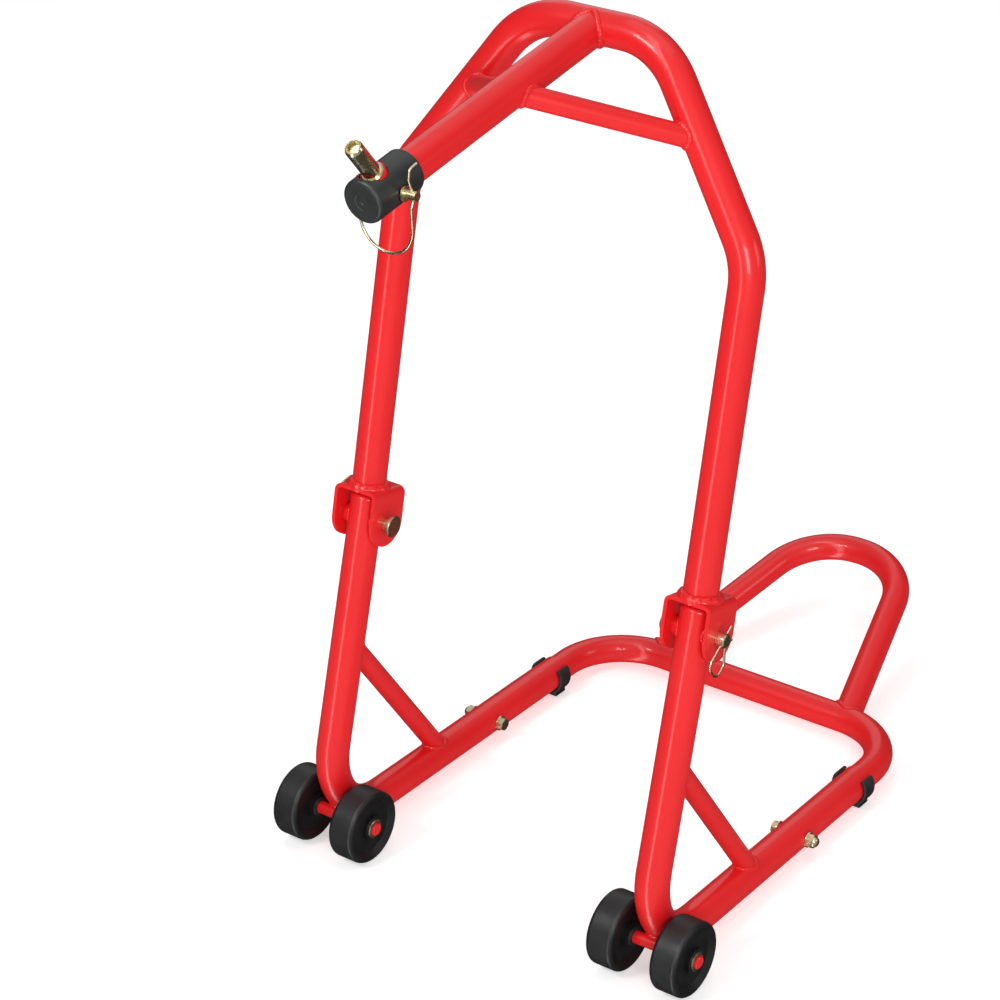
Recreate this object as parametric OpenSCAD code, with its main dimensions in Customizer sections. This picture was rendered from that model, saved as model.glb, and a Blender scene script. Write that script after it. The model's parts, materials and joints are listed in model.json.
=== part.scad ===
// Folding head-lift paddock stand for motorcycles.
// Two side frames on wheels carry a folding arch whose arm ends in a steering-stem pin.
// X is across the stand, -Y is the arm side, +Y is the handle side, +Z is up.
// The origin is on the floor, under the centre of the stand's bounding box.

/* [Main tubes] */
// Outside diameter of the side frame and arch tubes
tube_d = 35; // [30:0.5:42]
// Wall thickness of every tube
tube_wall = 1.5; // [1.2:0.1:3]
// Outside diameter of the rear tube that slides into the side frames
rear_d = 31.8; // [26:0.1:36]
// Outside diameter of the handle tube
handle_d = 31; // [24:0.1:34]
// Outside diameter of the round braces
brace_d = 21.5; // [16:0.5:26]
// Centre line radius of the tube bends
bend_r = 80; // [60:1:110]

/* [Side frames] */
// Half the distance between the centre lines of the side frames
half_w = 200; // [150:1:260]
// Height of the corner where a leg meets its base tube
corner_z = 24.4; // [18:0.1:40]
// Slope of the base tubes, down towards the rear
base_slope = 0.367; // [0:0.001:2]
// Length of a base tube from its corner to its rear end
base_len = 428; // [300:1:600]
// Backward lean of the lower legs
leg_lean = 14.15; // [0:0.05:30]
// Length of a lower leg from its corner to the clevis pin
leg_len = 350.1; // [200:0.1:500]

/* [Rear tube and handle] */
// Distance from the side frame corner to the rear cross bar
rear_y = 531; // [450:1:700]
// Distance from the side frame corner to the front end of the rear tube
rear_start = 262; // [150:1:400]
// Half the distance between the handle's feet
handle_w = 124.7; // [80:0.1:170]
// Reach of the handle from the cross bar
handle_len = 249.4; // [150:0.1:350]
// Upward tilt of the handle
handle_tilt = 16.7; // [0:0.1:60]
// Inward lean of the handle's legs
handle_taper = 13.4; // [0:0.1:20]

/* [Folding arch] */
// Backward lean of the arch
arch_lean = 11.82; // [0:0.01:30]
// Distance from the clevis pin to the upper kink of a leg
kink_h = 361; // [250:1:500]
// Distance from the clevis pin to the top of the arch
arch_h = 542.5; // [400:0.5:700]
// Half the width between the top corners of the arch
arch_top_w = 74; // [40:1:120]

/* [Arm] */
// Length of the arm from the centre of the arch to its front face
arm_len = 359.3; // [250:0.1:450]
// Downward slope of the arm towards its front
arm_slope = 10.32; // [0:0.01:30]
// Distance from the arch to the feet of the arm braces, along the arm
brace_on_arm = 140; // [80:1:220]
// Height of the brace ends on the arch legs, from the clevis pin
brace_on_arch = 460.8; // [400:0.1:520]
// Outside diameter of the black end sleeve
sleeve_d = 42.5; // [38:0.1:50]
// Length of the black end sleeve
sleeve_len = 62; // [50:0.5:110]

/* [Stem pin] */
// Diameter of the stem pin
stem_d = 17; // [11:0.1:27]
// Distance from the arm's centre line to the top of the stem pin
stem_h = 64; // [50:1:90]
// Forward tilt of the stem pin from square to the arm
stem_tilt = 30; // [0:1:40]
// Distance from the arm's front face to the stem pin, on the centre line
stem_a = 30.6; // [24:0.1:45]
// Diameter of the retaining pin
lock_d = 7; // [5:0.5:10]

/* [Clevis] */
// Diameter of the clevis pins
pin_d = 15; // [12:0.5:18]
// Half the gap between a bracket's ears
ear_gap = 22; // [18.5:0.1:24]
// Thickness of the bracket plate
plate_t = 4; // [3:0.5:6]
// Half the depth of a bracket
ear_r = 25; // [18:0.5:30]
// Distance of a bracket's middle behind the clevis pin
ear_back = 3; // [0:0.5:6]
// Distance from the clevis pin to the top of a bracket
web_h = 35; // [30:0.5:45]
// Diameter of the hairpin wire
wire_d = 2.6; // [2:0.1:4]

/* [Wheels] */
// Wheel diameter
wheel_d = 79.2; // [60:0.1:100]
// Wheel width
wheel_w = 31.2; // [20:0.1:45]
// Distance from a side frame to the centre of each of its wheels
wheel_x = 37.4; // [30:0.1:50]
// Distance of the axle behind the side frame corner
axle_y = 23; // [0:0.5:60]
// Axle diameter
axle_d = 13.5; // [8:0.5:16]

/* [Quality] */
// Number of segments of a full circle
$fn = 96; // [48:8:128]

/* [Hidden] */

arm_d = tube_d - 0.2;
mid_y = 305.893;
pin_y = leg_len * sin(leg_lean);
pin_z = corner_z + leg_len * cos(leg_lean);
apex_y = pin_y + arch_h * sin(arch_lean);
apex_z = pin_z + arch_h * cos(arch_lean);
wheel_r = wheel_d / 2;
run = 0.05;
clamp_y = 295;
leg_top = 21;
cap_h = 6;
head_x = 33.8;
clip_x = 28.2;
bail_r = 28.7;
wire_x = 30.5;
socket_d = stem_d + 7;
lock_s = -2;
lock_a = stem_a - lock_s * sin(stem_tilt);
lock_p = lock_s * cos(stem_tilt);

// Direction that a hairpin is pulled in, from the rear upwards, square to the pin
function clip_dir(s) = s > 0 ? 226.5 : 111.82;
// How far a clevis pin is pushed outwards
function pin_out(s) = s > 0 ? 3.8 : 0;

// Angle of a flat path's segment from point i to point i + 1
function seg_a(p, i) = atan2(p[i + 1][1] - p[i][1], p[i + 1][0] - p[i][0]);
// Signed turn of the path at point i, between -180 and 180
function turn_a(p, i) = let (t = seg_a(p, i) - seg_a(p, i - 1))
    t > 180 ? t - 360 : t < -180 ? t + 360 : t;
// Straight length that the bend at point i takes from both of its segments
function cut_l(p, i, r) =
    i == 0 || i == len(p) - 1 ? 0 : r * tan(abs(turn_a(p, i)) / 2);

// Bends of a flat path as [straight length, roll, turn, radius], one per segment
function plan(p, r) = [for (i = [0:len(p) - 2]) let (
    t = i < len(p) - 2 ? turn_a(p, i + 1) : 0,
    before = i == 0 ? 1 : turn_a(p, i))
    [norm(p[i + 1] - p[i]) - cut_l(p, i, r) - cut_l(p, i + 1, r),
        t * before < 0 ? 180 : 0, abs(t), r]];

// Round bar that starts along +X and follows a list of bends from number i. Each bend
// is a hair thicker than the straights and laps over their ends, by 0.5 mm on a tube
// and by 0.05 mm on a wire.
module run(c, d, i = 0) {
    l = c[i][0];
    t = c[i][2];
    r = c[i][3];
    e = (d > 20 ? 28.6 : 2.86) / max(r, 1);
    rotate([0, 90, 0]) cylinder(h = l, d = d);
    if (i < len(c) - 1)
        translate([l, 0, 0]) rotate([c[i][1], 0, 0]) translate([0, r, 0]) {
            rotate([0, 0, -90 - e]) rotate_extrude(angle = t + 2 * e)
                translate([r, 0]) circle(d = d + (d > 20 ? 0.1 : 0.02));
            rotate([0, 0, t]) translate([0, -r, 0]) run(c, d, i + 1);
        }
}

// Round bar of diameter d along a flat path in the XY plane, bent with radius r
module bent_bar(p, r, d) translate([p[0][0], p[0][1], 0])
    rotate([0, 0, seg_a(p, 0)]) run(plan(p, r), d);

// Round bar between two points in space
module bar(a, b, d) {
    v = b - a;
    translate(a)
        rotate([0, acos(v[2] / norm(v)), atan2(v[1], v[0])])
            cylinder(h = norm(v), d = d);
}

// Frames that the pieces are drawn in
module stand_frame() translate([0, -mid_y, 0]) children();
module base_frame() stand_frame() translate([0, 0, corner_z])
    rotate([-base_slope, 0, 0]) children();
module handle_frame() base_frame() translate([0, rear_y, 0])
    rotate([handle_tilt + base_slope, 0, 0]) children();
module leg_frame(s) stand_frame() translate([s * half_w, pin_y, pin_z])
    rotate([-leg_lean, 0, 0]) children();
module arch_frame() stand_frame() translate([0, pin_y, pin_z])
    rotate([-arch_lean, 0, 0]) children();
module clevis_frame(s) arch_frame() translate([s * half_w, 0, 0])
    scale_x(s) children();
module arm_frame() stand_frame() translate([0, apex_y, apex_z])
    rotate([arm_slope, 0, 0]) translate([0, -arm_len, 0]) children();
module stem_frame() arm_frame() translate([0, stem_a, 0])
    rotate([stem_tilt, 0, 0]) children();
module axle_frame(s) stand_frame() translate([s * half_w, axle_y, wheel_r])
    scale_x(s) rotate([0, 90, 0]) children();
module scale_x(s) {
    if (s < 0) mirror([1, 0, 0]) children();
    if (s > 0) children();
}

// Solid outlines that the braces and other tubes are cut to
module side_bar(s, d, extra) {
    p = [[(leg_len + leg_top + extra) * sin(leg_lean),
        (leg_len + leg_top + extra) * cos(leg_lean)], [0, 0],
        [(base_len + extra) * cos(base_slope), -(base_len + extra) * sin(base_slope)]];
    stand_frame() translate([s * half_w, 0, corner_z])
        rotate([90, 0, 90]) bent_bar(p, bend_r, d);
}
module rear_bar(d, extra) {
    p = [[-half_w, rear_start - extra], [-half_w, rear_y],
        [half_w, rear_y], [half_w, rear_start - extra]];
    base_frame() bent_bar(p, bend_r, d);
}
module handle_bar(d, extra) {
    top_w = handle_w - handle_len * tan(handle_taper);
    p = [[-handle_w - extra * tan(handle_taper), -extra], [-top_w, handle_len],
        [top_w, handle_len], [handle_w + extra * tan(handle_taper), -extra]];
    handle_frame() bent_bar(p, bend_r, d);
}
module arch_bar(d, extra) {
    p = [[half_w, web_h - extra], [half_w, kink_h], [arch_top_w, arch_h],
        [-arch_top_w, arch_h], [-half_w, kink_h], [-half_w, web_h - extra]];
    arch_frame() rotate([90, 0, 0]) bent_bar(p, bend_r, d);
}
module arm_bar(a0, a1, d) {
    arm_frame() translate([0, a0, 0]) rotate([-90, 0, 0])
        cylinder(h = a1 - a0, d = d);
}
module leg_brace_bar(s, d) {
    stand_frame() bar([s * half_w, 54, 232.2], [s * half_w, 209.5, 22.6], d);
}
module arm_brace_bar(s, d) {
    foot = [0, apex_y - brace_on_arm * cos(arm_slope),
        apex_z - brace_on_arm * sin(arm_slope)];
    top_x = half_w - (half_w - arch_top_w) * (brace_on_arch - kink_h) / (arch_h - kink_h);
    top = [s * top_x, pin_y + brace_on_arch * sin(arch_lean),
        pin_z + brace_on_arch * cos(arch_lean)];
    stand_frame() bar(foot, top, d);
}
module axle_bar(s) axle_frame(s) translate([0, 0, -57.5]) cylinder(h = 115, d = axle_d);
module pin_bar(s, d, l) leg_frame(s) rotate([0, 90, 0])
    cylinder(h = l, d = d, center = true);
module lock_bar(d, x0, x1) arm_frame() translate([x0, lock_a, lock_p])
    rotate([0, 90, 0]) cylinder(h = x1 - x0, d = d);

// Leg and base tube of one side, bent from one length
module side_tube(s) color([0.85, 0.1, 0.12]) difference() {
    side_bar(s, tube_d, 0);
    side_bar(s, tube_d - 2 * tube_wall, 1);
    axle_bar(s);
    pin_bar(s, 20, 60);
    base_frame() translate([s * half_w, clamp_y, 0]) rotate([0, 90, 0])
        cylinder(h = 60, d = 8.4, center = true);
}

// Diagonal brace between a lower leg and its base tube
module leg_brace(s) color([0.85, 0.1, 0.12]) difference() {
    leg_brace_bar(s, brace_d);
    leg_brace_bar(s, brace_d - 2 * tube_wall);
    side_bar(s, tube_d, 0);
}

// Rounded plug welded on the top end of a lower leg
module leg_end_cap(s) color([0.8, 0.1, 0.12]) leg_frame(s)
    translate([0, 0, leg_top]) rotate_extrude()
        intersection() {
            union() {
                square([tube_d / 2 - cap_h, cap_h]);
                translate([tube_d / 2 - cap_h, 0]) circle(r = cap_h);
            }
            square([tube_d, cap_h]);
        }

// Bush across the top of a lower leg that the clevis pin turns in
module pin_bush(s) color([0.8, 0.1, 0.12]) difference() {
    pin_bar(s, 20, 2 * ear_gap - 0.6);
    pin_bar(s, pin_d + 2 * run, 60);
}

// Rear tube: two ends in the base tubes and one cross bar
module rear_tube() color([0.85, 0.1, 0.12]) difference() {
    rear_bar(rear_d, 0);
    rear_bar(rear_d - 2 * tube_wall, 1);
    for (s = [-1, 1]) base_frame() translate([s * half_w, clamp_y, 0])
        rotate([0, 90, 0]) cylinder(h = 60, d = 8.4, center = true);
}

// Handle welded on the rear cross bar
module handle_hoop() color([0.85, 0.1, 0.12]) difference() {
    handle_bar(handle_d, 0);
    handle_bar(handle_d - 2 * tube_wall, 1);
    rear_bar(rear_d, 0);
}

// Fixed axle welded on the outside of the corner bend
module axle(s) color([0.8, 0.1, 0.12]) axle_frame(s) translate([0, 0, -57.5])
    rotate_extrude() polygon([[0, 0], [axle_d / 2 - 1, 0], [axle_d / 2, 1],
        [axle_d / 2, 114], [axle_d / 2 - 1, 115], [0, 115]]);

// One wheel with a rounded tread, dished faces and raised hubs
module wheel(s, side) color([0.08, 0.08, 0.08]) axle_frame(s)
    translate([0, 0, side * wheel_x]) rotate_extrude() difference() {
        union() {
            translate([0, -wheel_w / 2 + 5]) square([wheel_r, wheel_w - 10]);
            translate([0, -wheel_w / 2]) square([wheel_r - 5, wheel_w]);
            for (z = [-1, 1]) translate([wheel_r - 5, z * (wheel_w / 2 - 5)])
                circle(r = 5);
        }
        translate([0, -wheel_w]) square([axle_d / 2 + run, 2 * wheel_w]);
        for (z = [-1, 1]) translate([0, z * wheel_w / 2]) polygon([[13, -z * 4.5],
            [13.8, z], [36, z], [34.4, 0], [28, -z * 4.5]]);
    }

// Spring cap that holds a wheel on the axle end
module axle_cap(s, side) color([0.75, 0.68, 0.35]) axle_frame(s)
    rotate([side < 0 ? 180 : 0, 0, 0])
    translate([0, 0, wheel_x + wheel_w / 2 + 0.9]) rotate_extrude()
        polygon([[axle_d / 2, -0.5], [10.4, -0.5], [10.4, 0.3], [9.2, 1],
            [axle_d / 2 + 1, 1.4], [axle_d / 2, 0.8]]);

// Collar on the axle between a wheel and the side frame
module axle_collar(s, side) color([0.08, 0.08, 0.08]) axle_frame(s)
    translate([0, 0, side * 19.7]) difference() {
        cylinder(h = 3, d = 20, center = true);
        cylinder(h = 20, d = axle_d, center = true);
    }

// Rubber saddle under the rear end of a base tube, flat where it stands
module rubber_foot(s) color([0.06, 0.06, 0.06]) difference() {
    intersection() {
        union() {
            base_frame() translate([s * half_w, base_len - 19, 0]) rotate([-90, 0, 0])
                cylinder(h = 19, d = tube_d + 8.4);
            stand_frame() translate([s * half_w - 14, base_len - 19, 0])
                cube([28, 19, 8]);
        }
        stand_frame() translate([s * half_w - 40, base_len - 40, 0])
            cube([80, 60, 24]);
    }
    base_frame() translate([s * half_w, base_len - 60, 0]) rotate([-90, 0, 0])
        cylinder(h = 120, d = tube_d);
}

// Hexagon bolt with its washer, through a base tube and the rear tube inside it
module clamp_bolt(s) color([0.75, 0.68, 0.35]) base_frame()
    translate([s * half_w, clamp_y, 0]) scale_x(s) rotate([0, 90, 0]) {
        translate([0, 0, -20]) cylinder(h = 46, d = 8);
        translate([0, 0, -25]) intersection() {
            cylinder(h = 6, d = 15, $fn = 6);
            rotate_extrude() polygon([[0, 0], [6.4, 0], [8, 1], [8, 6], [0, 6]]);
        }
        translate([0, 0, -19]) cylinder(h = 1.5, d = 17);
    }

// Washer and domed hexagon nut on the bolt's end
module clamp_nut(s) color([0.75, 0.68, 0.35]) base_frame()
    translate([s * half_w, clamp_y, 0]) scale_x(s) rotate([0, 90, 0]) difference() {
        union() {
            translate([0, 0, 17.5]) cylinder(h = 1.5, d = 17);
            translate([0, 0, 19]) intersection() {
                cylinder(h = 6.5, d = 16, $fn = 6);
                rotate_extrude() polygon([[0, 0], [8.2, 0], [8.2, 5.6], [6.8, 6.5], [0, 6.5]]);
            }
            translate([0, 0, 24]) intersection() {
                sphere(d = 12.4);
                cylinder(h = 12, d = 14);
            }
        }
        cylinder(h = 26, d = 8);
    }

// Folding arch: two legs and the bent top, one length of tube
module arch_tube() color([0.85, 0.1, 0.12]) difference() {
    arch_bar(tube_d, 0);
    arch_bar(tube_d - 2 * tube_wall, 1);
}

// Folded plate bracket under the foot of an arch leg
module clevis_bracket(s) color([0.8, 0.1, 0.12]) clevis_frame(s) difference() {
    translate([0, ear_back, 0]) intersection() {
        rotate([90, 0, 0]) linear_extrude(height = 2 * ear_r, center = true)
            difference() {
                bracket_outline(ear_gap + plate_t, web_h, 7.5);
                bracket_outline(ear_gap, web_h - plate_t, 3.5);
            }
        union() {
            translate([-40, -ear_r, 0]) cube([80, 2 * ear_r, web_h]);
            rotate([0, 90, 0]) cylinder(h = 80, r = ear_r, center = true);
        }
    }
    rotate([0, 90, 0]) cylinder(h = 80, d = pin_d + 2 * run, center = true);
}
module bracket_outline(w, h, r) {
    translate([-w, -ear_r]) square([2 * w, h - r + ear_r]);
    translate([r - w, -ear_r]) square([2 * (w - r), h + ear_r]);
    for (x = [-1, 1]) translate([x * (w - r), h - r]) circle(r = r);
}

// Headed pin through a bracket, with a cross hole for its hairpin
module clevis_pin(s) color([0.75, 0.68, 0.35]) clevis_frame(s)
    translate([pin_out(s), 0, 0]) difference() {
        rotate([0, 90, 0]) rotate_extrude() polygon([[0, -head_x - 4],
            [10.4, -head_x - 4], [11.4, -head_x - 3], [11.4, -head_x - 0.6],
            [10.8, -head_x], [pin_d / 2, -head_x], [pin_d / 2, 31],
            [pin_d / 2 - 1.2, 32.2], [0, 32.2]]);
        translate([clip_x, 0, 0]) rotate([clip_dir(s), 0, 0]) rotate([90, 0, 0])
            cylinder(h = 60, d = wire_d + 0.16, center = true);
    }

// Wire hairpin through the pin: straight leg, round loop and outer leg
module hairpin(s) color([0.75, 0.68, 0.35]) clevis_frame(s)
    translate([clip_x + pin_out(s), 0, 0]) rotate([clip_dir(s), 0, 0])
    rotate([90, 0, 90]) bent_bar([[-16, 0], [31, 0], [31, s * 23], [14, s * 24],
        [3.5, s * 9.4], [-4, s * 9.4], [-9, s * 13]], 8, wire_d);

// Arm tube from the front end to the arch
module arm_tube() color([0.85, 0.1, 0.12]) difference() {
    arm_bar(4.3, arm_len, arm_d);
    arm_bar(3, arm_len + 1, arm_d - 2 * tube_wall);
    arch_bar(tube_d, 0);
    stem_frame() translate([0, 0, -12.5]) cylinder(h = 60, d = socket_d);
    lock_bar(lock_d + 2 * run, -40, 40);
}

// Brace between the arm and one side of the arch
module arm_brace(s) color([0.85, 0.1, 0.12]) difference() {
    arm_brace_bar(s, brace_d);
    arm_brace_bar(s, brace_d - 2 * tube_wall);
    arm_bar(0, arm_len, arm_d);
    arch_bar(tube_d, 0);
}

// Black sleeve with a closed, dimpled front over the end of the arm
module arm_sleeve() color([0.08, 0.08, 0.08]) difference() {
    arm_frame() rotate([-90, 0, 0]) rotate_extrude() polygon([[0, 1.1], [1.6, 1.1],
        [2.4, 0.4], [7.4, 0.4], [8, 0], [sleeve_d / 2 - 3.4, 0],
        [sleeve_d / 2 - 1.6, 0.5], [sleeve_d / 2 - 0.5, 1.6],
        [sleeve_d / 2, 3.4], [sleeve_d / 2, sleeve_len - 1],
        [sleeve_d / 2 - 1, sleeve_len], [arm_d / 2 + 0.05, sleeve_len],
        [arm_d / 2 + 0.05, 4], [0, 4]]);
    stem_frame() cylinder(h = 60, d = socket_d + 1.2);
    lock_bar(14, 0, 40);
    lock_bar(14, -40, 0);
}

// Socket for the stem pin, welded through the arm
module stem_socket() color([0.8, 0.1, 0.12]) difference() {
    stem_frame() translate([0, 0, -12.5]) cylinder(h = 34.5, d = socket_d);
    stem_frame() translate([0, 0, -13.5]) cylinder(h = 40, d = stem_d);
    lock_bar(lock_d + 2 * run, -40, 40);
}

// Stem pin with a collar, a shallow hollow in its end and a chamfered rim
module stem_pin() color([0.72, 0.62, 0.38]) difference() {
    stem_frame() translate([0, 0, -10.5]) rotate_extrude() polygon([[0, 0],
        [stem_d / 2, 0], [stem_d / 2, 32.5], [10.4, 32.5], [10.6, 32.8], [10.6, 34.3],
        [9.6, 35.5], [stem_d / 2, 35.5], [stem_d / 2, stem_h + 7.7],
        [stem_d / 2 - 0.9, stem_h + 10.1], [stem_d / 2 - 1.3, stem_h + 10.5],
        [6.8, stem_h + 10.5], [6.6, stem_h + 10.2], [6.6, stem_h + 3],
        [0, stem_h + 1]]);
    lock_bar(lock_d + 2 * run, -40, 40);
}

// Retaining pin across the arm, with a shoulder and a hole in its head for the wire
module retaining_pin() color([0.78, 0.74, 0.6]) difference() {
    union() {
        lock_bar(lock_d, -31.5, 24);
        lock_bar(14.5, 22.4, 24);
        lock_bar(9, 24, 36);
    }
    arm_frame() translate([wire_x, lock_a, lock_p])
        cylinder(h = 40, d = wire_d + 0.1, center = true);
}

// Spring wire: tail, straight through the pin's head, and round under the arm to a
// ring on the pin's far end
module retaining_wire() color([0.75, 0.68, 0.35]) arm_frame()
    translate([0, lock_a, lock_p]) {
        p = [[11, 26], [1, 25], [-2, 16], [0, 6.5], [0, -6.5], [-3.5, -11],
            [-5.87, -31.3]];
        bends = plan(p, 3);
        last = len(bends) - 1;
        translate([wire_x, p[0][0], p[0][1]]) rotate([90, 0, 90])
            rotate([0, 0, seg_a(p, 0)]) run(concat([for (i = [0:last - 1]) bends[i]],
                [[bends[last][0], -90, 90, bail_r], [0.6, 0, 90, bail_r],
                    [26.3, 0, 0, 0]]), wire_d);
        translate([-27.5, 0, 0]) rotate([0, 90, 0]) rotate_extrude()
            translate([5.6, 0]) circle(d = wire_d + 0.5);
    }

side_tube(-1);  // side_tube_left
side_tube(1);  // side_tube_right
leg_brace(-1);  // leg_brace_left
leg_brace(1);  // leg_brace_right
leg_end_cap(-1);  // leg_end_cap_left
leg_end_cap(1);  // leg_end_cap_right
pin_bush(-1);  // pin_bush_left
pin_bush(1);  // pin_bush_right
rear_tube();
handle_hoop();
axle(-1);  // axle_left
axle(1);  // axle_right
wheel(-1, 1);  // wheel_left_outer
wheel(-1, -1);  // wheel_left_inner
wheel(1, -1);  // wheel_right_inner
wheel(1, 1);  // wheel_right_outer
axle_cap(-1, 1);  // axle_cap_left_outer
axle_cap(-1, -1);  // axle_cap_left_inner
axle_cap(1, -1);  // axle_cap_right_inner
axle_cap(1, 1);  // axle_cap_right_outer
axle_collar(-1, 1);  // axle_collar_left_outer
axle_collar(-1, -1);  // axle_collar_left_inner
axle_collar(1, -1);  // axle_collar_right_inner
axle_collar(1, 1);  // axle_collar_right_outer
rubber_foot(-1);  // rubber_foot_left
rubber_foot(1);  // rubber_foot_right
clamp_bolt(-1);  // clamp_bolt_left
clamp_bolt(1);  // clamp_bolt_right
clamp_nut(-1);  // clamp_nut_left
clamp_nut(1);  // clamp_nut_right
arch_tube();
clevis_bracket(-1);  // clevis_bracket_left
clevis_bracket(1);  // clevis_bracket_right
clevis_pin(-1);  // clevis_pin_left
clevis_pin(1);  // clevis_pin_right
hairpin(-1);  // hairpin_left
hairpin(1);  // hairpin_right
arm_tube();
arm_brace(-1);  // arm_brace_left
arm_brace(1);  // arm_brace_right
arm_sleeve();
stem_socket();
stem_pin();
retaining_pin();
retaining_wire();
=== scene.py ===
"""Motorcycle paddock stand: camera, light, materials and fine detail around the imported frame."""

import json
import math

import bmesh
import bpy
from mathutils import Matrix, Vector, noise
from mathutils.bvhtree import BVHTree


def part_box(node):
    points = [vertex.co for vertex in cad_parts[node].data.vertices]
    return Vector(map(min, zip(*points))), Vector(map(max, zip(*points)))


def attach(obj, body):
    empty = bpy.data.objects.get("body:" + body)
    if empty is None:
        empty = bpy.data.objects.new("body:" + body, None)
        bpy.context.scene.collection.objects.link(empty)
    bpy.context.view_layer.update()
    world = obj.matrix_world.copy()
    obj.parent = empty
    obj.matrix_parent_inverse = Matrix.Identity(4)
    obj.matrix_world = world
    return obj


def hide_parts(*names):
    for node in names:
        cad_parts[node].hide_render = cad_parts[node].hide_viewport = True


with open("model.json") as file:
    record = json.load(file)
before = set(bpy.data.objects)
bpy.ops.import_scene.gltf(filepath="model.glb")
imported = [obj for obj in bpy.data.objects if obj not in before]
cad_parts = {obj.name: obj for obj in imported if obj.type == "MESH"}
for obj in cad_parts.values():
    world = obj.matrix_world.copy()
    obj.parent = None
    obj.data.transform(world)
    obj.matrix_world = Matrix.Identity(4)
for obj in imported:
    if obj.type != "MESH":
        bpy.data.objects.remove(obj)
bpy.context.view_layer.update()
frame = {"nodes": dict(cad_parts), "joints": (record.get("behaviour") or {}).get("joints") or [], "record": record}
NODES = frame["nodes"]
JOINTS = {j["name"]: j for j in frame["joints"]}
MOUNTS = {m["name"]: m for m in frame["record"]["mounts"]}
scene = bpy.context.scene


# ---------------------------------------------------------------- shape helpers
def deg(a):
    return math.radians(a)


def new_object(name, verts, faces):
    mesh = bpy.data.meshes.new(name)
    mesh.from_pydata([tuple(v) for v in verts], [], faces)
    mesh.validate()
    bm = bmesh.new()
    bm.from_mesh(mesh)
    bmesh.ops.recalc_face_normals(bm, faces=bm.faces[:])
    bm.to_mesh(mesh)
    bm.free()
    mesh.polygons.foreach_set("use_smooth", [True] * len(mesh.polygons))
    obj = bpy.data.objects.new(name, mesh)
    scene.collection.objects.link(obj)
    return obj


def square_to(d):
    """Two unit vectors that are square to d and to each other."""
    d = d.normalized()
    u = d.cross(Vector((1, 0, 0)) if abs(d.x) < 0.9 else Vector((0, 0, 1))).normalized()
    return u, d.cross(u).normalized()


def loft_closed(name, rings):
    """A closed tube through closed rings of equal length; the last ring joins the first."""
    n, m = len(rings), len(rings[0])
    verts = [p for ring in rings for p in ring]
    faces = [
        (i * m + j, i * m + (j + 1) % m, (i + 1) % n * m + (j + 1) % m, (i + 1) % n * m + j)
        for i in range(n)
        for j in range(m)
    ]
    return new_object(name, verts, faces)


trees = {}


def tree(node):
    if node not in trees:
        mesh = NODES[node].data
        trees[node] = BVHTree.FromPolygons(
            [v.co.copy() for v in mesh.vertices], [tuple(p.vertices) for p in mesh.polygons]
        )
    return trees[node]


# ---------------------------------------------------------------- geometry of the stand
PIN = Vector(JOINTS["arch_fold"]["pos_m"])
AXLE = Vector(JOINTS["wheel_right_outer_spin"]["pos_m"])
STEM = Vector(MOUNTS["stem_pin"]["pos_m"])
STEM_UP = Vector(MOUNTS["stem_pin"]["axis"]).normalized()
HALF_W = abs(JOINTS["clevis_pin_right_turn"]["pos_m"][0])
UP = Vector((0, math.sin(deg(11.82)), math.cos(deg(11.82))))
LEG = Vector((0, math.sin(deg(14.15)), math.cos(deg(14.15))))
ARM = Vector((0, -math.cos(deg(10.32)), -math.sin(deg(10.32))))
APEX = PIN + UP * 0.5425
CORNER = PIN - LEG * 0.3501
ARM_END = APEX + ARM * 0.3593
BASE = Vector((0, math.cos(deg(0.367)), -math.sin(deg(0.367))))
TUBE_R = 0.0175
BRACE_R = 0.01075
AXLE_R = 0.00675
BEND_R = 0.080
KINK_H, BRACE_H, ARCH_H = 0.361, 0.4608, 0.5425
ARCH_TOP_W = 0.074
SIDES = (("left", -1), ("right", 1))


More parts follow.
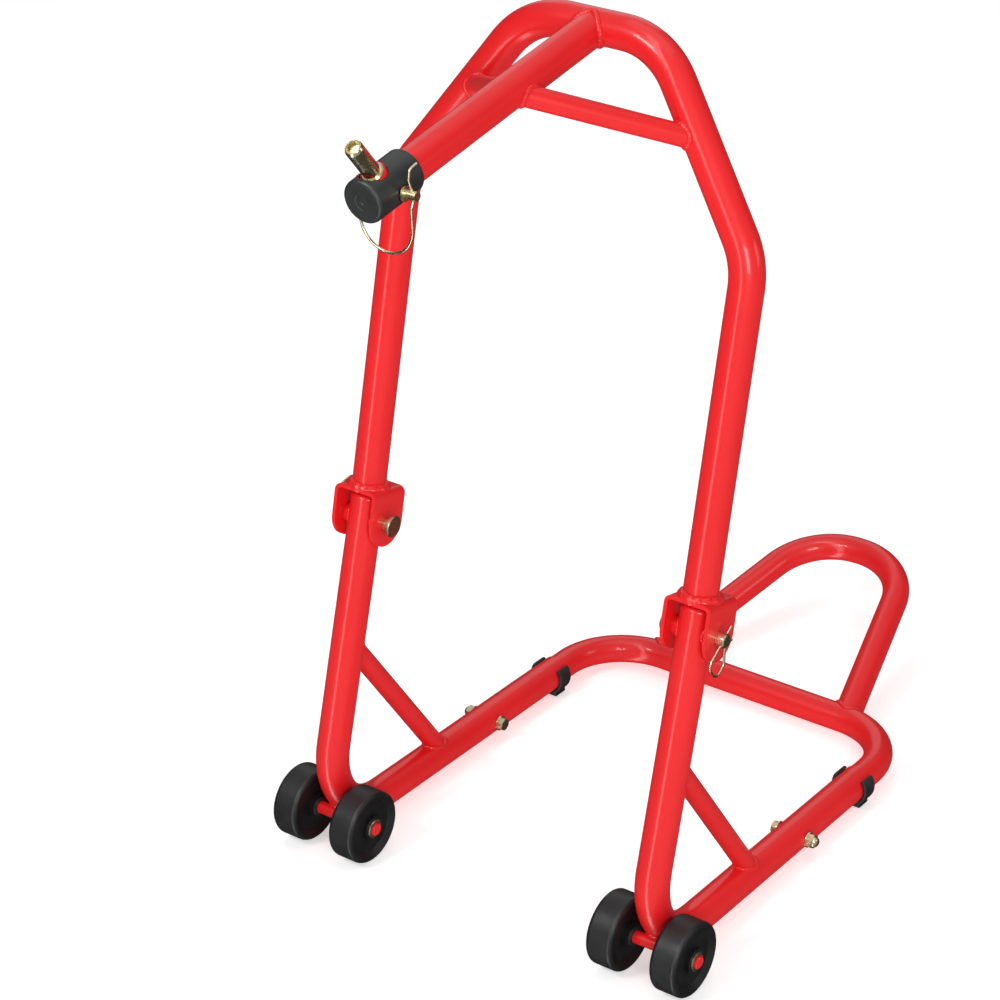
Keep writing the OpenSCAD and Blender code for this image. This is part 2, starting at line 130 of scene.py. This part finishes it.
# ---------------------------------------------------------------- materials
class Nodes:
    """Builds one node material step by step."""

    def __init__(self, name):
        self.mat = bpy.data.materials.new(name)
        self.mat.use_nodes = True
        self.tree = self.mat.node_tree
        self.tree.nodes.clear()
        self.out = self.add("ShaderNodeOutputMaterial")
        self.bsdf = self.add("ShaderNodeBsdfPrincipled")
        self.link(self.bsdf.outputs[0], self.out.inputs["Surface"])
        self.coord = self.add("ShaderNodeTexCoord").outputs["Object"]

    def add(self, kind, **values):
        node = self.tree.nodes.new(kind)
        for k, v in values.items():
            setattr(node, k, v)
        return node

    def link(self, a, b):
        self.tree.links.new(a, b)

    def set(self, **values):
        for k, v in values.items():
            self.bsdf.inputs[k.replace("_", " ")].default_value = v

    def noise(self, scale, detail=3.0, rough=0.5, stretch=None, distortion=0.0):
        n = self.add("ShaderNodeTexNoise")
        n.inputs["Scale"].default_value = scale
        n.inputs["Detail"].default_value = detail
        n.inputs["Roughness"].default_value = rough
        n.inputs["Distortion"].default_value = distortion
        source = self.coord
        if stretch:
            m = self.add("ShaderNodeMapping")
            m.inputs["Scale"].default_value = stretch
            self.link(source, m.inputs["Vector"])
            source = m.outputs[0]
        self.link(source, n.inputs["Vector"])
        return n.outputs["Fac"]

    def ramp(self, fac, stops):
        r = self.add("ShaderNodeValToRGB")
        e = r.color_ramp.elements
        while len(e) < len(stops):
            e.new(0.5)
        for k, (at, c) in zip(e, stops):
            k.position = at
            k.color = (*c, 1) if len(c) == 3 else c
        self.link(fac, r.inputs["Fac"])
        return r.outputs["Color"]

    def span(self, fac, low, high, a=0.0, b=1.0):
        m = self.add("ShaderNodeMapRange")
        for k, v in zip(("From Min", "From Max", "To Min", "To Max"), (a, b, low, high)):
            m.inputs[k].default_value = v
        self.link(fac, m.inputs["Value"])
        return m.outputs["Result"]

    def maths(self, op, a, b=0.0):
        m = self.add("ShaderNodeMath", operation=op)
        for s, v in zip(m.inputs, (a, b)):
            if isinstance(v, (int, float)):
                s.default_value = v
            else:
                self.link(v, s)
        return m.outputs[0]

    def mix(self, fac, a, b, blend="MIX"):
        m = self.add("ShaderNodeMix", data_type="RGBA", blend_type=blend)
        for s, v in ((m.inputs[0], fac), (m.inputs[6], a), (m.inputs[7], b)):
            if isinstance(v, (int, float)):
                s.default_value = v
            elif isinstance(v, tuple):
                s.default_value = (*v, 1)
            else:
                self.link(v, s)
        return m.outputs[2]

    def radius(self, centre, axis):
        """Distance of the shaded point from a line, in metres."""
        sub = self.add("ShaderNodeVectorMath", operation="SUBTRACT")
        self.link(self.coord, sub.inputs[0])
        sub.inputs[1].default_value = centre
        cross = self.add("ShaderNodeVectorMath", operation="CROSS_PRODUCT")
        self.link(sub.outputs[0], cross.inputs[0])
        cross.inputs[1].default_value = axis.normalized()
        size = self.add("ShaderNodeVectorMath", operation="LENGTH")
        self.link(cross.outputs[0], size.inputs[0])
        return size.outputs["Value"]

    def rings(self, r, per_m):
        """Concentric waves from 0 to 1."""
        wave = self.maths("SINE", self.maths("MULTIPLY", r, per_m * 2 * math.pi))
        return self.maths("MULTIPLY_ADD", wave, 0.5)

    def bump(self, *layers):
        """Stacks (height, strength, distance) layers on the normal."""
        normal = None
        for height, strength, distance in layers:
            b = self.add("ShaderNodeBump")
            b.inputs["Strength"].default_value = strength
            b.inputs["Distance"].default_value = distance
            self.link(height, b.inputs["Height"])
            if normal:
                self.link(normal, b.inputs["Normal"])
            normal = b.outputs[0]
        self.link(normal, self.bsdf.inputs["Normal"])

    def colour(self, socket):
        self.link(socket, self.bsdf.inputs["Base Color"])

    def rough(self, socket):
        self.link(socket, self.bsdf.inputs["Roughness"])


def red_paint():
    m = Nodes("red_powder_coat")
    tones = [(0.3, (0.735, 0.0085, 0.011)), (0.7, (0.790, 0.013, 0.016))]
    base = m.ramp(m.noise(7, 2), tones)
    speck = m.span(m.noise(1400, 2, 0.6), 0.0, 0.10, 0.52, 0.80)
    m.colour(m.mix(speck, base, (0.56, 0.006, 0.008)))
    m.rough(m.span(m.noise(30, 4), 0.30, 0.42))
    m.set(Specular_IOR_Level=0.28, Coat_Weight=0.45, Coat_Roughness=0.07, Coat_IOR=1.42)
    m.bump((m.noise(620, 2, 0.5), 0.10, 0.0004), (m.noise(90, 3), 0.06, 0.0012))
    return m.mat


def yellow_zinc(name="yellow_zinc_plate", centre=None, axis=None, per_m=2500):
    m = Nodes(name)
    tint = m.ramp(
        m.noise(60, 3, 0.55, distortion=0.6),
        [
            (0.25, (0.54, 0.45, 0.28)),
            (0.45, (0.76, 0.65, 0.42)),
            (0.60, (0.62, 0.57, 0.38)),
            (0.75, (0.74, 0.56, 0.40)),
        ],
    )
    stain = m.span(m.noise(260, 4, 0.6), 0.0, 0.35, 0.55, 0.85)
    m.colour(m.mix(stain, tint, (0.28, 0.23, 0.13)))
    m.rough(m.span(m.noise(180, 3), 0.16, 0.36))
    m.set(Metallic=1.0, Specular_IOR_Level=0.5)
    layers = [(m.noise(900, 2, 0.5), 0.12, 0.0003)]
    if axis is not None:
        layers.append((m.rings(m.radius(centre, axis), per_m), 0.10, 0.0001))
    m.bump(*layers)
    return m.mat


def wheel_black():
    m = Nodes("wheel_moulded_black")
    tones = [(0.3, (0.007, 0.007, 0.0075)), (0.75, (0.015, 0.015, 0.016))]
    base = m.ramp(m.noise(45, 4, 0.6), tones)
    dust = m.span(m.noise(700, 3, 0.7), 0.0, 0.5, 0.60, 0.90)
    m.colour(m.mix(dust, base, (0.026, 0.026, 0.028)))
    m.rough(m.span(m.noise(80, 4), 0.34, 0.52))
    m.set(Specular_IOR_Level=0.38)
    r = m.radius(AXLE, Vector((1, 0, 0)))
    m.bump(
        (m.noise(1500, 2, 0.6), 0.16, 0.0003),
        (m.noise(120, 3), 0.08, 0.0012),
        (m.rings(r, 900), 0.05, 0.0002),
    )
    return m.mat


def sleeve_black():
    m = Nodes("sleeve_moulded_black")
    tones = [(0.3, (0.014, 0.016, 0.0165)), (0.75, (0.024, 0.027, 0.027))]
    base = m.ramp(m.noise(60, 4, 0.6), tones)
    m.colour(base)
    m.rough(m.span(m.noise(110, 4), 0.36, 0.50))
    m.set(Specular_IOR_Level=0.5)
    r = m.radius(ARM_END, ARM)
    m.bump(
        (m.noise(1700, 2, 0.6), 0.12, 0.0003),
        (m.rings(r, 1100), 0.12, 0.0002),
        (m.noise(70, 3), 0.10, 0.0015),
    )
    return m.mat


def foot_rubber():
    m = Nodes("foot_rubber_black")
    tones = [(0.3, (0.010, 0.010, 0.011)), (0.8, (0.024, 0.025, 0.027))]
    base = m.ramp(m.noise(90, 4, 0.6), tones)
    m.colour(base)
    m.rough(m.span(m.noise(160, 3), 0.52, 0.70))
    m.set(Specular_IOR_Level=0.4)
    m.bump((m.noise(1900, 2, 0.6), 0.22, 0.0003), (m.noise(150, 3), 0.10, 0.001))
    return m.mat


MATS = {
    "red_paint": red_paint(),
    "yellow_zinc": yellow_zinc(),
    "wheel_black": wheel_black(),
    "sleeve_black": sleeve_black(),
    "foot_rubber": foot_rubber(),
}
STEM_ZINC = yellow_zinc("stem_pin_zinc", STEM, STEM_UP)
PIN_ZINC = yellow_zinc("clevis_pin_zinc", PIN, Vector((1, 0, 0)), 1800)

for part in frame["record"]["subparts"]:
    obj = NODES[part["node"]]
    mat = MATS[part["material_slot"]]
    if part["node"] == "stem_pin":
        mat = STEM_ZINC
    if part["node"].startswith("clevis_pin"):
        mat = PIN_ZINC
    for s in obj.material_slots:
        s.material = mat
    if not obj.material_slots:
        obj.data.materials.append(mat)


def finish_piece(obj, slot, body):
    obj.data.materials.append(MATS[slot])
    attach(obj, body)


# ---------------------------------------------------------------- soft edges on the cut parts
SHARP_DEG = 35


def soften(node, width):
    b = NODES[node].modifiers.new("edge", "BEVEL")
    b.width = width
    b.segments = 3
    b.limit_method = "ANGLE"
    b.angle_limit = deg(SHARP_DEG)
    b.harden_normals = False


# ---------------------------------------------------------------- weld beads
def bead(name, body, path, outs, size, phase=0.0, pitch=0.0034, swell=0.05):
    """A rippled bead along a closed path; outs point away from the two parts that it joins."""
    n = len(path)
    for _ in range(3):
        path = [(path[i - 1] + path[i] * 2 + path[(i + 1) % n]) * 0.25 for i in range(n)]
    length = sum((path[i] - path[i - 1]).length for i in range(n))
    ripples = max(8, round(length / pitch))
    rings, run = [], 0.0
    for i in range(n):
        tangent = (path[(i + 1) % n] - path[i - 1]).normalized()
        out = outs[i - 1] + outs[i] + outs[(i + 1) % n]
        out = (out - tangent * out.dot(tangent)).normalized()
        side = tangent.cross(out).normalized()
        run += (path[i] - path[i - 1]).length
        wander = noise.noise(path[i] * 120 + Vector((phase, 0, 0)))
        wide = size * (1 + 0.16 * noise.noise(path[i] * 60 + Vector((0, phase, 3))))
        centre = path[i] + out * (size * 0.12 + 0.0002 * wander)
        ring = []
        for j in range(14):
            a = 2 * math.pi * j / 14
            beat = 2 * math.pi * ripples * run / length + 1.1 * abs(math.sin(a))
            r = wide * (1 + swell * math.sin(beat) + 0.4 * swell * math.sin(2 * beat + 0.6))
            ring.append(centre + out * math.cos(a) * r * 0.92 + side * math.sin(a) * r * 1.22)
        rings.append(ring)
    finish_piece(loft_closed(name, rings), "red_paint", body)


def weld(name, body, start, along, radius, target, size=0.0024, n=220, phase=0.0, **look):
    """The bead round a bar that runs from start along a direction until it meets a node."""
    d = along.normalized()
    u, v = square_to(d)
    path, outs = [], []
    for i in range(n):
        t = 2 * math.pi * i / n
        e = u * math.cos(t) + v * math.sin(t)
        for k in (1.0, 0.995, 0.985, 0.97, 0.95):
            at, normal, _, _ = tree(target).ray_cast(start + e * radius * k, d, 0.2)
            if at is not None:
                break
        if at is None:
            raise RuntimeError(name + " misses " + target)
        path.append(at)
        outs.append((-normal if normal.dot(d) > 0 else normal) + e * 1.1)
    bead(name, body, path, outs, size, phase, **look)


def axle_weld(side, s, n=140):
    """The bead where the axle lies in the outside of the corner bend."""
    half = LEG.angle(BASE) / 2
    middle = CORNER + (LEG + BASE).normalized() * BEND_R / math.sin(half)
    middle.x = 0
    to_rod = Vector((0, AXLE.y, AXLE.z)) - middle
    gap = to_rod.length
    to_rod.normalize()
    across = Vector((1, 0, 0)).cross(to_rod)
    reach = math.sqrt(TUBE_R**2 - (gap - AXLE_R - BEND_R) ** 2)
    path, outs = [], []
    for i in range(n):
        t = 2 * math.pi * i / n
        x = reach * 0.999 * math.cos(t)
        far = BEND_R + math.sqrt(TUBE_R**2 - x**2)
        along = (gap**2 + far**2 - AXLE_R**2) / (2 * gap)
        rise = math.sqrt(max(far**2 - along**2, 0)) * (1 if math.sin(t) >= 0 else -1)
        at = middle + to_rod * along + across * rise
        tube_out = (at - middle).normalized() * math.sqrt(TUBE_R**2 - x**2) + Vector((x, 0, 0))
        rod_out = at - middle - to_rod * gap
        at.x = s * HALF_W + x
        path.append(at)
        outs.append(tube_out.normalized() + rod_out.normalized())
    bead(f"weld_axle_{side}", "base", path, outs, 0.0019, 12 + s)


for side, s in SIDES:
    x = Vector((s * HALF_W, 0, 0))
    # foot of the arch leg on its bracket
    weld(f"weld_arch_foot_{side}", "arch", PIN + x + UP * 0.060, -UP, 0.0179,
         f"clevis_bracket_{side}", 0.0046, 260, s, pitch=0.0085, swell=0.06)
    # diagonal brace of the side frame
    upper = x + Vector((0, CORNER.y + 0.0540, CORNER.z + 0.2078))
    lower = x + Vector((0, CORNER.y + 0.2095, CORNER.z - 0.0018))
    mid, rod = (upper + lower) / 2, upper - lower
    weld(f"weld_leg_brace_top_{side}", "base", mid, rod, BRACE_R,
         f"side_tube_{side}", 0.0022, 200, 2 + s)
    weld(f"weld_leg_brace_foot_{side}", "base", mid, -rod, BRACE_R,
         f"side_tube_{side}", 0.0022, 200, 4 + s)
    # handle foot on the rear tube
    foot = Vector((s * 0.1247, CORNER.y + 0.5310, CORNER.z - 0.0034))
    lift = Vector((-s * math.tan(deg(13.4)), math.cos(deg(16.7)), math.sin(deg(16.7))))
    lift.normalize()
    weld(f"weld_handle_foot_{side}", "base", foot + lift * 0.06, -lift, 0.0155,
         "rear_tube", 0.0024, 240, 6 + s)
    # arm brace
    root = APEX + ARM * 0.140
    rise = (BRACE_H - KINK_H) / (ARCH_H - KINK_H)
    top = PIN + UP * BRACE_H + Vector((s * (HALF_W - (HALF_W - ARCH_TOP_W) * rise), 0, 0))
    mid, rod = (root + top) / 2, top - root
    weld(f"weld_arm_brace_arch_{side}", "arch", mid, rod, BRACE_R,
         "arch_tube", 0.0022, 200, 8 + s)
    weld(f"weld_arm_brace_arm_{side}", "arch", mid, -rod, BRACE_R,
         "arm_tube", 0.0022, 200, 10 + s)
    axle_weld(side, s)
    for w, o in (("outer", 1), ("inner", -1)):
        out = Vector((s * o, 0, 0))
        weld(f"weld_bush_{side}_{w}", "base", PIN + x + out * 0.035, -out, 0.0104,
             f"side_tube_{side}", 0.0014, 160, 16 + s + o)
weld("weld_arm_arch", "arch", APEX + ARM * 0.06, -ARM, 0.0172, "arch_tube", 0.0027, 280, 20)


# ---------------------------------------------------------------- rubber feet
def saddle(side, s):
    """A moulded rubber saddle; it wraps about 10 mm higher up the tube than its CAD foot."""
    low, high = (Vector(p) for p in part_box(f"rubber_foot_{side}"))
    x0 = s * HALF_W
    zc = CORNER.z + (low.y + high.y - 2 * CORNER.y) / 2 * BASE.z + 0.00005
    wide = high.x - x0
    n = 55
    wrap = deg(128)
    floor_pad, pad_r = deg(34), 0.0255

    def section(inset):
        outer, inner = [], []
        for i in range(n):
            t = -math.pi / 2 + (i / (n - 1) - 0.5) * 2 * wrap
            e = Vector((math.cos(t), 0, math.sin(t)))
            r = wide
            if e.z < 0:
                drop = (zc - low.z) / -e.z
                if abs(t + math.pi / 2) < floor_pad:
                    r = max(wide, min(drop, pad_r))
                if e.z < -0.6:
                    r = min(r, drop)
            along = abs(i - (n - 1) / 2) / ((n - 1) / 2)
            tip = max(0.0, along - 0.93) / 0.07
            r -= inset + 0.0012 * tip ** 2
            outer.append(Vector((x0, 0, zc)) + e * r)
            inner.append(Vector((x0, 0, zc)) + e * (TUBE_R + 0.00012 + 0.5 * inset))
        return outer + inner[::-1]

    length = high.y - low.y
    stations = [(0.0, 0.0010), (0.0003, 0.0005), (0.0008, 0.0001), (0.0015, 0.0)]
    rows = [(low.y + a, inset) for a, inset in stations]
    rows += [(low.y + length * k / 6, 0.0) for k in range(1, 6)]
    rows += [(high.y - a, inset) for a, inset in stations[::-1]]
    rings = []
    for y, inset in rows:
        shift = (y - (low.y + high.y) / 2) * BASE.z
        rings.append([Vector((p.x, y, max(p.z + shift, low.z))) for p in section(inset)])
    m = 2 * n
    faces = [
        (i * m + j, i * m + (j + 1) % m, (i + 1) * m + (j + 1) % m, (i + 1) * m + j)
        for i in range(len(rings) - 1)
        for j in range(m)
    ]
    for base in (0, (len(rings) - 1) * m):
        faces += [
            (base + j, base + j + 1, base + m - 2 - j, base + m - 1 - j) for j in range(n - 1)
        ]
    obj = new_object(f"foot_saddle_{side}", [p for ring in rings for p in ring], faces)
    finish_piece(obj, "foot_rubber", "base")
    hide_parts(f"rubber_foot_{side}")


for side, s in SIDES:
    saddle(side, s)
    soften(f"clevis_bracket_{side}", 0.0009)
    for node, width in (("clamp_bolt", 0.0004), ("clamp_nut", 0.0004), ("axle", 0.0004)):
        soften(f"{node}_{side}", width)
soften("retaining_pin", 0.0003)


# ---------------------------------------------------------------- camera
def set_camera():
    az, el = deg(36.084), deg(27.067)
    back = Vector((math.sin(az) * math.cos(el), -math.cos(az) * math.cos(el), math.sin(el)))
    right = (-back).cross(Vector((0, 0, 1))).normalized()
    up = back.cross(right).normalized()
    aim = Vector((0, -0.105893, 0.400))
    data = bpy.data.cameras.new("camera")
    data.sensor_width = 36
    data.sensor_fit = "HORIZONTAL"
    data.lens = 36 * 3.069
    data.clip_end = 50
    cam = bpy.data.objects.new("camera", data)
    place = aim + back * 3.0927 - right * 0.0915 - up * 0.0034
    cam.matrix_world = Matrix(
        (
            (right.x, up.x, back.x, place.x),
            (right.y, up.y, back.y, place.y),
            (right.z, up.z, back.z, place.z),
            (0, 0, 0, 1),
        )
    )
    scene.collection.objects.link(cam)
    scene.camera = cam
    return back, right


BACK, RIGHT = set_camera()


# ---------------------------------------------------------------- light and floor
def area(name, place, size, power):
    """A square lamp that looks at the middle of the stand."""
    data = bpy.data.lights.new(name, "AREA")
    data.shape = "RECTANGLE"
    data.size = size
    data.size_y = size
    data.energy = power
    obj = bpy.data.objects.new(name, data)
    obj.location = place
    obj.rotation_euler = (CENTRE - place).to_track_quat("-Z", "Y").to_euler()
    scene.collection.objects.link(obj)


CENTRE = Vector((0, 0, 0.45))
FLAT_BACK = Vector((BACK.x, BACK.y, 0)).normalized()
area("key", CENTRE + FLAT_BACK * 1.6 - RIGHT * 2.2 + Vector((0, 0, 2.2)), 0.7, 34)
area("front", CENTRE + FLAT_BACK * 3.4 + RIGHT * 0.4 + Vector((0, 0, 1.4)), 1.1, 44)
area("fill", CENTRE + RIGHT * 2.6 + FLAT_BACK * 0.8 + Vector((0, 0, 1.0)), 0.9, 7)
area("top", CENTRE + Vector((0, 0, 3.0)), 2.4, 16)
area("back", CENTRE - FLAT_BACK * 3.0 + Vector((0, 0, 1.8)), 2.4, 14)

# What shines on the paint: a strip this many degrees to the left, and its strength
STRIP_TURN = 40
STRIP = 5.0
# Strength of the room that lights everything else
ROOM = 0.36


def studio():
    """A soft white room, in which reflections see a bright front, a tall strip and dark sides."""
    world = bpy.data.worlds.new("studio")
    world.use_nodes = True
    nodes, links = world.node_tree.nodes, world.node_tree.links
    coord = nodes.new("ShaderNodeTexCoord").outputs["Generated"]

    def towards(direction):
        n = nodes.new("ShaderNodeVectorMath")
        n.operation = "DOT_PRODUCT"
        n.inputs[1].default_value = direction
        links.new(coord, n.inputs[0])
        return n.outputs["Value"]

    def span(value, ends, result):
        n = nodes.new("ShaderNodeMapRange")
        n.interpolation_type = "SMOOTHSTEP"
        for key, v in zip(("From Min", "From Max", "To Min", "To Max"), ends + result):
            n.inputs[key].default_value = v
        links.new(value, n.inputs["Value"])
        return n.outputs["Result"]

    def maths(op, x, y):
        n = nodes.new("ShaderNodeMath")
        n.operation = op
        links.new(x, n.inputs[0])
        links.new(y, n.inputs[1])
        return n.outputs[0]

    turn = deg(STRIP_TURN)
    strip = FLAT_BACK * math.cos(turn) - RIGHT * math.sin(turn)
    edge = FLAT_BACK * math.sin(turn) + RIGHT * math.cos(turn)
    across = maths("MULTIPLY", towards(edge), towards(edge))
    line = span(across, (0.004, 0.018), (1.0, 0.0))
    facing = span(towards(strip), (0.1, 0.4), (0.0, 1.0))
    front = span(towards(FLAT_BACK), (0.15, 0.95), (0.05, 0.50))
    high = span(towards(Vector((0, 0, 1))), (0.35, 0.9), (0.0, 0.55))
    strength = span(line, (0, 1), (STRIP, STRIP))
    bright = maths("MULTIPLY", maths("MULTIPLY", line, facing), strength)
    shine = maths("ADD", maths("ADD", bright, front), high)
    is_glossy = nodes.new("ShaderNodeLightPath").outputs["Is Glossy Ray"]
    room = span(is_glossy, (0, 1), (ROOM, 0.0))
    total = maths("ADD", room, maths("MULTIPLY", shine, is_glossy))
    sky = nodes["Background"]
    sky.inputs[0].default_value = (1, 1, 1, 1)
    links.new(total, sky.inputs[1])
    scene.world = world


studio()

floor = new_object("floor", [(-8, -8, 0), (8, -8, 0), (8, 8, 0), (-8, 8, 0)], [(0, 1, 2, 3)])
fm = Nodes("pale_floor")
fm.colour(fm.ramp(fm.noise(2, 2), [(0.0, (0.86, 0.86, 0.86)), (1.0, (0.89, 0.89, 0.89))]))
fm.set(Roughness=0.9, Specular_IOR_Level=0.1, Emission_Color=(1, 1, 1, 1), Emission_Strength=0.46)
floor.data.materials.append(fm.mat)
floor.visible_glossy = False

scene.view_settings.view_transform = "Standard"
scene.view_settings.look = "None"
